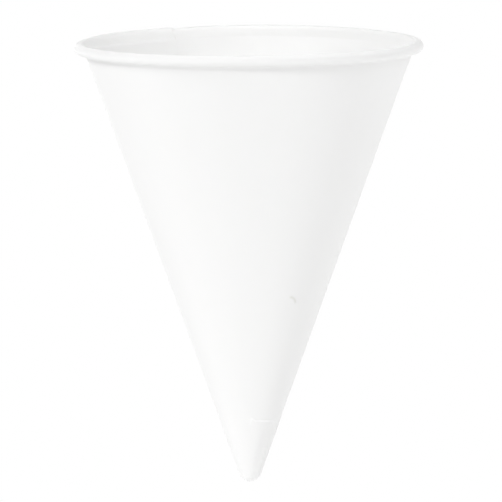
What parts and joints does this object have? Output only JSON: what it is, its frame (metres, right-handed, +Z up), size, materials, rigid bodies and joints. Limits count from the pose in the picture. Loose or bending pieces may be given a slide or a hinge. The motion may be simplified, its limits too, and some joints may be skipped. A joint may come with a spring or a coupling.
{
  "type": "cone paper cup",
  "caption": "White cone paper cup with a rolled rim, a lapped seam and a pressed round tip, standing mouth down.",
  "frame": {"origin": "middle of the mouth, in the plane of the rolled rim that the cup stands on", "axes": "+Z up the cone's axis from the mouth to the closed tip; the sheet's inner free edge lies 62.4 degrees from +X towards +Y"},
  "size_m": [0.074, 0.074, 0.095],
  "materials": {
    "white_paper": "matte"
  },
  "bodies": {
    "root": {"cone_cup": "white_paper"}
  },
  "joints": []
}
